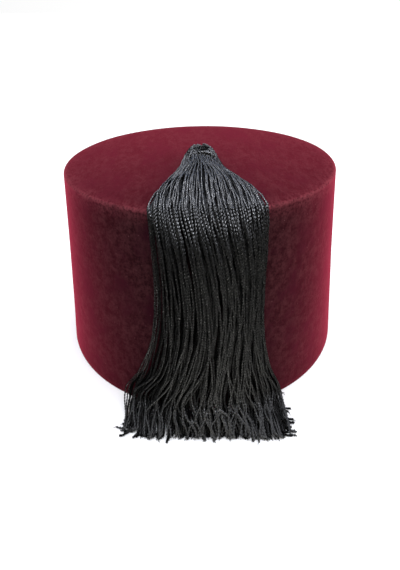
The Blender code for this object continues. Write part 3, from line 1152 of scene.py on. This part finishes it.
    def build(self) -> None:
        """Makes and dresses the bundle's cords."""
        rng = self.rng
        outer, inner, under = ([[], []] for _ in range(3))  # each in a left and a right half
        for number, layer in enumerate(CordLayer):
            count = layer.value[0]
            group = outer if number == 0 else inner if number < 3 else under
            for i in range(count):
                across = -1 + 2 * (i + 0.5 + rng.uniform(-0.25, 0.25)) / count
                across *= 0.98 - 0.01 * number
                group[int(across > 0)].append(self.cord(across, layer))
        for i in range(self.strays):
            across = -0.9 + 1.8 * (i + rng.uniform(0.2, 0.8)) / self.strays
            end = rng.uniform(*self.stray_skews) * (1 if rng.uniform() < 0.6 else -1) * MM
            outer[int(across > 0)].append(self.stray(across, end, rng.uniform(0.3, 0.9) * MM))
        for i in range(self.foot_cords):
            across = -1 + 2 * (i + rng.uniform(0.1, 0.9)) / self.foot_cords
            across = 0.98 * math.copysign(abs(across) ** 0.6, across)
            under[int(across > 0)].append(self.foot_cord(across, self.foot_depths[i % 4]))
        for side, away in self.edge_strays:
            outer[int(side > 0)].append(self.edge_stray(side, away * MM))
        frayed = []
        for cord in [cord for group in outer + inner + under for cord in group]:
            if rng.uniform() < self.frayed_share:
                frayed += self.frayed_end(cord)
        # the inner and core cords get painted shade: darker, less glossy copies of the outer finish
        sleek, dull, core = self.makers
        for i, side in enumerate(("left", "right")):
            for part, cords in (("a", outer[i][::2]), ("b", outer[i][1::2])):
                sleek.build(f"tassel_cords_{side}_{part}", cords, self.fine_step, sides=8, waist=self.waist)
            dull.build(f"tassel_inner_cords_{side}", inner[i], self.inner_step, sides=6, waist=self.waist)
            core.build(f"tassel_under_cords_{side}", under[i], self.coarse_step, sides=5, waist=0.0)
        sleek.build("tassel_frayed_tips", frayed, self.fray_step, sides=3, waist=0.0)


# Over the dome: radius and the share of the cord's depth added to it, drop and the share there, mm.
DOME_WAY = (
    (2.0, 1.0, 5.6, 0.0),
    (3.7, 0.4, 3.0, 0.0),
    (4.3, 0.5, 1.1, 0.4),
    (5.2, 0.0, 0.0, 1.0),
    (6.5, -0.4, 0.9, 1.0),
    (8.0, -0.7, 2.6, 0.6),
    (9.3, -1.0, 4.9, 0.0),
    (10.1, -1.0, 6.6, 0.0),
    (9.9, -1.0, 7.5, 0.0),
)
# Out to the fan's edge: shares of the turns at the lip and ahead, radius, drop, more drop for the
# rearmost and for a low cord, mm.
WING_WAY = (
    (1.0, 0.0, 2.8, 4.8, 0.0, 0.0),
    (1.0, 0.0, 4.2, 1.6, 0.0, 0.0),
    (1.0, 0.0, 5.2, 0.5, 0.0, 0.0),
    (0.9, 0.0, 6.8, 1.3, 0.6, 0.5),
    (0.6, 0.4, 9.0, 2.7, 1.7, 1.0),
    (0.0, 1.0, 12.6, 3.2, 2.2, 1.0),
)
THROAT_WAY = ((5.6, 1.0), (7.2, 0.7), (8.8, 1.5))  # out from under the binding: radius and drop, mm
# Across the front of the lip: degrees, radius and drop, mm.
BINDING_WAY = (
    (-34, 5.2, 1.2), (-10, 6.6, 0.1), (12, 7.9, -0.3), (29, 8.9, 0.6), (45, 9.5, 2.3), (62, 9.7, 4.4)
)


@dataclass
class TasselHead(CordGroup):
    """The cords of the head: up out of the dimple, over its lip and down all round. Those at the
    sides sweep forward into the fan."""

    radius: float = 0.6 * MM
    seed: int = 5
    layers: tuple[tuple[int, float], ...] = ((38, 0.0), (38, 0.8), (30, 1.7))  # (cords, mm further in)
    front: float = math.radians(48)  # the outer layer leaves this much either side to the long cords
    sweeps: Range = (0.22, 0.2)  # how far the outer layer sweeps forward, and more at the sides
    sweep_power: float = 1.6  # how late along a cord it does
    wings: int = 8  # on each side
    wing_turns: tuple[Range, Range] = ((40, 66), (34, 22))  # degrees, as (foremost, more to the rearmost)
    wing_across: Range = (0.5, 0.47)  # the same, across the bundle
    wing_places: tuple[float, ...] = (0.085, 0.12, 0.16, 0.2, 0.24)  # along the bundle
    wing_sinks: tuple[float, ...] = (0.2, 20.0, 0.12)  # mm deep, how steeply deeper, and from where on
    throat_cords: int = 11
    throat_turn: float = math.radians(34)
    throat_across: float = 0.46
    throat_places: tuple[float, ...] = (0.09, 0.12, 0.15, 0.19, 0.23, 0.27, 0.31)
    throat_sinks: tuple[float, ...] = (0.1, 34.0, 0.2)
    binding_highlight_tint: float = 4.0  # painted highlight: the tie's smooth cord is painted lighter than any other, and is the sleekest
    coil_turns: float = 4.2
    coil_steps: int = 60

    def fan_point(self, along: float, across: float, aside: float, sinks: tuple[float, ...]) -> Vector:
        """Finds a place in the fan for a short cord, which goes under the long ones on its way.

        Args:
            along: the place along the bundle.
            across: the cord's own place across it.
            aside: how far it strays from there.
            sinks: the millimetres that it lies deep, how steeply deeper, and from where on.

        Returns:
            The place, in the row frame.
        """
        deep, steep, begin = sinks
        return BUNDLE.place(along, across, aside, (deep + steep * max(along - begin, 0.0)) * MM)

    def cord(self, turn: float, inset: float) -> Cord:
        """Lays one cord over the dome.

        Args:
            turn: where it crosses the lip, in radians from the front.
            inset: how many millimetres further in its layer lies.

        Returns:
            The cord.
        """
        rng, own = self.rng, self.radius / MM
        depth = own + inset + rng.uniform(-0.2, 0.2)
        deep = own if abs(turn) < self.front else depth
        usual, more = self.sweeps
        sweep = -turn * (usual + more * abs(math.sin(turn))) if inset == 0.0 else rng.uniform(-0.1, 0.1)
        lean = rng.uniform(-0.1, 0.1)
        points = []
        for i, (radius, further, drop, deeper) in enumerate(DOME_WAY):
            share = i / (len(DOME_WAY) - 1)
            angle = turn + sweep * share**self.sweep_power + lean * share + rng.uniform(-0.02, 0.02)
            radius += further * depth + rng.uniform(-0.1, 0.1)
            points.append(HEAD.point(angle, radius, drop + deeper * deep))
        return self.cut(points, girth=(0.9, 1.08), tints=(0.0, 0.4))

    def wing(self, side: float, rank: float) -> Cord:
        """Lays one cord over the lip at the side and forward along the fan's edge.

        Args:
            side: -1 for the left, 1 for the right.
            rank: from 0 for the foremost to 1 for the rearmost.

        Returns:
            The cord.
        """
        turn, ahead = (side * math.radians(first + more * rank) for first, more in self.wing_turns)
        sink = -self.rng.uniform(-0.5, 0.4)
        points = [
            HEAD.point(turn * at_lip + ahead * forward, radius, drop + rear * rank + sunk * sink)
            for at_lip, forward, radius, drop, rear, sunk in WING_WAY
        ]
        first, more = self.wing_across
        across = side * (first + more * rank)
        points += [self.fan_point(along, across, 0.0, self.wing_sinks) for along in self.wing_places]
        return self.cut(points, girth=(0.9, 1.05), tints=(0.2, 0.8))

    def throat_cord(self, share: float) -> Cord:
        """Lays one of the short cords that fill the fan's middle, out from under the binding.

        Args:
            share: its place in the fan's middle, from -1 on the left to 1 on the right.

        Returns:
            The cord.
        """
        points = [HEAD.point(self.throat_turn * share, radius, drop) for radius, drop in THROAT_WAY]
        for along in self.throat_places:
            aside = self.rng.uniform(-0.25, 0.25) * MM
            points.append(self.fan_point(along, self.throat_across * share, aside, self.throat_sinks))
        return self.cut(points, girth=(0.75, 0.9), tints=(0.3, 0.9))

    def binding(self) -> Cord:
        """Lays the end of the tie across the front of the lip."""
        points = [HEAD.point(math.radians(turn), radius, drop) for turn, radius, drop in BINDING_WAY]
        # painted highlight: a tint far above 1 paints this cord lighter than the light dye
        return Cord(points, self.radius * 1.4, self.binding_highlight_tint, self.rng.uniform(0, self.phases))

    def floor_coil(self) -> Cord:
        """Winds the cord that fills the dimple's floor.

        Returns:
            The cord.
        """
        shares, whole = spaced(0.0, 1.0, self.coil_steps + 1), 2 * math.pi * self.coil_turns
        points = [HEAD.point(whole * share, 0.4 + 4.6 * share, 5.4 - 0.5 * share) for share in shares]
        # darkest dye, with the inner cords' painted shade, as painted shade in the dimple
        return Cord(points, self.radius, 0.0, 0.0)

    def build(self) -> None:
        """Makes and dresses the head's cords."""
        rng = self.rng
        cords, inner = [], []
        for count, inset in self.layers:
            for i in range(count):
                turn = 2 * math.pi * (i + 0.5 * (inset > 0) + rng.uniform(-0.2, 0.2)) / count - math.pi
                if inset > 0:
                    inner.append(self.cord(turn, inset))
                elif abs(turn) > self.front:
                    cords.append(self.cord(turn, inset))
        for side in (-1.0, 1.0):
            for i in range(self.wings):
                wing = self.wing(side, (i + rng.uniform(-0.3, 0.3)) / (self.wings - 1))
                (inner if i % 2 else cords).append(wing)
        for i in range(self.throat_cords):
            cords.append(self.throat_cord(-1 + 2 * (i + rng.uniform(0.2, 0.8)) / self.throat_cords))
        cords.append(self.binding())
        inner.append(self.floor_coil())
        self.makers[0].build("tassel_head_cords", cords, step=0.42 * MM, sides=8, waist=0.8)
        self.makers[1].build("tassel_head_inner_cords", inner, step=0.6 * MM, sides=6, waist=0.6)


@dataclass
class Tie:
    """The hidden tie: a doubled cord through the crown, knotted in the dimple and under the felt."""

    maker: CordMaker
    cord_radius: float = 0.55 * MM
    low: float = 106.0  # millimetres above the floor, as are all its heights
    high: float = 118.0
    stations: int = 17
    runs_apart: float = 0.5
    twist: float = 1.1  # radians that the runs turn round each other between two stations
    knots: tuple[tuple[float, ...], ...] = ((108.0, 0.72, 0.85), (118.6, 0.42, 0.5))  # height, size, radius
    knot_stations: int = 49
    knot_rise: float = 1.7  # how high it is tied, for its size
    thread: tuple[tuple[float, ...], ...] = (
        (-4.6, 0.9, 121.4), (-2.2, 1.6, 120.6), (-0.4, 0.4, 119.9), (0.3, -2.4, 120.0), (1.6, -4.0, 121.5)
    )
    thread_radius: float = 0.3 * MM

    def point(self, x: float, y: float, z: float) -> Vector:
        """Finds a place by its millimetres from the head's middle and the floor."""
        return Vector((HEAD.middle.x, HEAD.middle.y, 0.0)) + Vector((x, y, z)) * MM

    def run(self, half: float) -> Cord:
        """Lays one run of the doubled cord, wound round the other.

        Args:
            half: the turn that it starts at, in radians.

        Returns:
            The cord.
        """
        points = []
        for i, height in enumerate(spaced(self.low, self.high, self.stations)):
            turn = half + self.twist * i
            x, y = self.runs_apart * math.cos(turn), self.runs_apart * math.sin(turn)
            points.append(self.point(x, y, height))
        return Cord(points, self.cord_radius, tint=0.5, phase=half)

    def knot(self, height: float, size: float, radius: float) -> Cord:
        """Ties a small trefoil knot round the shaft.

        Args:
            height: its middle's height.
            size: its scale, about a sixth of its width, in millimetres.
            radius: its cord's radius, in millimetres.

        Returns:
            The knotted cord.
        """
        points = []
        for t in spaced(0.0, 2 * math.pi, self.knot_stations):
            x = math.sin(t) + 2 * math.sin(2 * t)
            y = math.cos(t) - 2 * math.cos(2 * t)
            z = height - self.knot_rise * math.sin(3 * t) * size
            points.append(self.point(x * size, y * size, z))
        return Cord(points, radius * MM, tint=0.6, phase=0.0)

    def build(self) -> None:
        """Makes and dresses the tie."""
        cords = [self.run(0.0), self.run(math.pi)]
        cords += [self.knot(*knot) for knot in self.knots]
        thread = [self.point(*place) for place in self.thread]
        cords.append(Cord(thread, self.thread_radius, tint=0.8, phase=0.0))
        self.maker.build("tassel_tie_cord", cords, step=0.4 * MM, sides=6, waist=0.4)


class Shows(Enum):
    """Where a light shows."""

    EVERYWHERE = "everywhere"
    IN_NAP = "only in the felt's nap and on the floor"
    IN_GLOSS = "only in the cords' gloss"


@dataclass(frozen=True)
class SoftBox:
    """One rectangular soft light, aimed at a point above the crown's axis."""

    name: str
    place: tuple[float, float, float]  # metres from the crown's axis
    size: Range  # metres, across and high
    radiance: float
    colour: str
    shows: Shows = Shows.EVERYWHERE
    aim_height: float = 0.06

    def build(self) -> None:
        """Hangs the light."""
        width, height = self.size
        light = bpy.data.lights.new(self.name, "AREA")
        light.shape = "RECTANGLE"
        light.size, light.size_y = width, height
        light.energy = self.radiance * math.pi * width * height
        light.color = linear(self.colour)[:3]
        lamp = new_object(self.name, light)
        place = AXIS + Vector(self.place)
        turned = (AXIS + Vector((0.0, 0.0, self.aim_height)) - place).to_track_quat("-Z", "Y")
        lamp.matrix_world = Matrix.Translation(place) @ turned.to_matrix().to_4x4()
        lamp.visible_diffuse = self.shows is not Shows.IN_GLOSS
        lamp.visible_glossy = self.shows is not Shows.IN_NAP
        lamp.visible_camera = False


SOFT_BOXES = (
    SoftBox("overhead_soft_box", (0.05, -0.12, 1.1), (1.1, 0.9), 3.0, "#eef3ff", Shows.IN_NAP),
    SoftBox("rear_soft_box", (0.0, 1.7, 0.95), (1.6, 0.7), 1.2, "#e6eeff"),
    SoftBox("right_soft_box", (1.2, -0.45, 0.09), (0.9, 0.22), 10.6, "#ffeee4", Shows.IN_NAP),
    SoftBox("overhead_reflector", (0.0, 0.05, 1.0), (0.9, 0.4), 24.0, "#f2f5ff", Shows.IN_GLOSS),
    SoftBox("blue_reflector", (0.1, 0.62, 0.93), (0.8, 0.3), 3.4, "#a0bcf4", Shows.IN_GLOSS),
    SoftBox("rear_reflector", (0.0, 1.5, 0.65), (1.3, 0.9), 0.1, "#f4f6f2", Shows.IN_GLOSS),
    SoftBox("low_reflector", (-0.05, -0.8, 0.12), (0.5, 0.09), 7.0, "#fffdf8", Shows.IN_GLOSS),
    SoftBox("floor_strip", (0.01, -0.14, 0.003), (0.07, 0.04), 4.4, "#fffdf6", Shows.IN_GLOSS, 0.25),
)


@dataclass
class Studio:
    """The camera, a white floor, a white room and soft boxes."""

    scale: float = BASE_RADIUS / (92.3 * MM)
    camera_offset: tuple[float, float, float] = (-0.99, -240.0, 188.3)  # millimetres from the crown's axis
    camera_pitch: float = 55.25
    camera_roll: float = -1.031
    image_height: float = 570.0
    focal_pixels: float = 402.0
    sensor: float = 36.0
    clip: Range = (0.01, 100.0)
    floor_size: float = 60.0
    room_strength: float = 1.06
    room_slant: float = 0.24  # how much brighter the room is on the right

    def place_camera(self) -> None:
        """Puts the camera where the crown's two outlines in the photograph ask for it."""
        camera = bpy.data.cameras.new("camera")
        camera.sensor_width = self.sensor
        camera.lens = self.focal_pixels * self.sensor / self.image_height
        camera.clip_start, camera.clip_end = self.clip
        stand = new_object("camera", camera)
        pitch = Matrix.Rotation(math.radians(self.camera_pitch), 4, "X")
        roll = Matrix.Rotation(math.radians(self.camera_roll), 4, "Z")
        place = AXIS + Vector(self.camera_offset) * MM * self.scale
        stand.matrix_world = Matrix.Translation(place) @ pitch @ roll
        bpy.context.scene.camera = stand

    def lay_floor(self) -> None:
        """Lays the white floor, which isn't part of the hat and which the cords' gloss doesn't mirror:
        a floor strip among the soft boxes stands in for it there."""
        half = self.floor_size / 2
        corners = [(-half, -half, 0.0), (half, -half, 0.0), (half, half, 0.0), (-half, half, 0.0)]
        mesh = bpy.data.meshes.new("studio_floor")
        mesh.from_pydata(corners, [], [(0, 1, 2, 3)])
        mesh.materials.append(StudioFloorPaint().build())
        floor = new_object("studio_floor", mesh)
        floor.visible_glossy = False

    def whiten_room(self) -> None:
        """Surrounds the set with white, brighter on the right, which lights the felt and the floor
        but leaves the cords' gloss to the soft boxes."""
        scene = bpy.context.scene
        scene.view_settings.view_transform = "Standard"
        world = bpy.data.worlds.new("white_room")
        world.use_nodes = True
        tree = world.node_tree
        sky = add_node(tree, "ShaderNodeTexCoord").outputs["Generated"]
        across = add_node(tree, "ShaderNodeSeparateXYZ", (sky,)).outputs["X"]
        inputs = (across, self.room_slant, self.room_strength)
        whiter = add_node(tree, "ShaderNodeMath", inputs, operation="MULTIPLY_ADD")
        back = tree.nodes["Background"]
        back.inputs["Color"].default_value = linear("#ffffff")
        tree.links.new(whiter.outputs[0], back.inputs["Strength"])
        world.cycles_visibility.glossy = False
        scene.world = world

    def build(self) -> None:
        """Sets the camera, the floor and the lights."""
        self.place_camera()
        self.lay_floor()
        self.whiten_room()
        for box in SOFT_BOXES:
            box.build()


def main() -> None:
    """Builds the studio and then the hat, piece by piece."""
    logging.basicConfig(level=logging.INFO, format="%(name)s %(message)s")
    Studio().build()
    Crown(VelvetFelt()).build()
    makers = tuple(CordMaker(finish().build()) for finish in (TwistedRayon, InnerShadedRayon, ShadedRayon))
    Tassel(makers).build()
    TasselHead(makers).build()
    Tie(CordMaker(WaxedTieCord().build(), 2.4 * MM, "tie_cord", "tassel_tie")).build()


if __name__ == "__main__":
    main()
